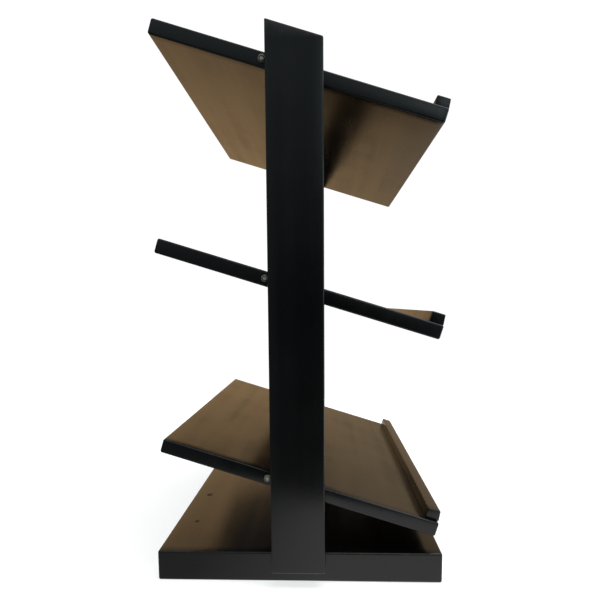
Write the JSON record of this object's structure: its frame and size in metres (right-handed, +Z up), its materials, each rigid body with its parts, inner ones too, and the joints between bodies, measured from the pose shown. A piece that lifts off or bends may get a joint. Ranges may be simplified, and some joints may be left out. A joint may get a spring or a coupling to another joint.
{
  "type": "nail polish rack",
  "caption": "Tabletop rack in black lacquered wood: a base board and two posts carry sloping shelves with low front lips, which slide out to the rear off round stops.",
  "frame": {"origin": "on the table under the middle of the base board", "axes": "+Z up; +X along the boards, from the left post to the right post; -Y towards the front, the low side of the sloping shelves"},
  "size_m": [0.48, 0.3014, 0.5654],
  "materials": {
    "black_lacquer": "satin-gloss black lacquer over fine-grained wood, arrises eased",
    "beech": "bare, turned",
    "clear_rubber": "clear, slightly cloudy, smooth",
    "zinc_steel": "zinc plated"
  },
  "bodies": {
    "stand": {"base_board": "black_lacquer", "left_post": "black_lacquer", "right_post": "black_lacquer", "left_post_front_dowel": "beech", "left_post_rear_dowel": "beech", "right_post_front_dowel": "beech", "right_post_rear_dowel": "beech"},
    "bottom_tier": {"bottom_shelf": "black_lacquer", "bottom_lip": "black_lacquer", "bottom_lip_left_dowel": "beech", "bottom_lip_centre_dowel": "beech", "bottom_lip_right_dowel": "beech", "bottom_left_stop_button": "clear_rubber", "bottom_left_stop_screw": "zinc_steel", "bottom_right_stop_button": "clear_rubber", "bottom_right_stop_screw": "zinc_steel"},
    "middle_tier": {"middle_shelf": "black_lacquer", "middle_lip": "black_lacquer", "middle_lip_left_dowel": "beech", "middle_lip_centre_dowel": "beech", "middle_lip_right_dowel": "beech", "middle_left_stop_button": "clear_rubber", "middle_left_stop_screw": "zinc_steel", "middle_right_stop_button": "clear_rubber", "middle_right_stop_screw": "zinc_steel"},
    "top_tier": {"top_shelf": "black_lacquer", "top_lip": "black_lacquer", "top_lip_left_dowel": "beech", "top_lip_centre_dowel": "beech", "top_lip_right_dowel": "beech", "top_left_stop_button": "clear_rubber", "top_left_stop_screw": "zinc_steel", "top_right_stop_button": "clear_rubber", "top_right_stop_screw": "zinc_steel"}
  },
  "joints": [
    {"name": "bottom_tier_slide", "type": "slide", "parent": "stand", "child": "bottom_tier", "axis": [0, 0.9548, 0.2974], "range_m": [0, 0.165]},
    {"name": "middle_tier_slide", "type": "slide", "parent": "stand", "child": "middle_tier", "axis": [0, 0.9548, 0.2974], "range_m": [0, 0.165]},
    {"name": "top_tier_slide", "type": "slide", "parent": "stand", "child": "top_tier", "axis": [0, 0.9548, 0.2974], "range_m": [0, 0.165]}
  ]
}
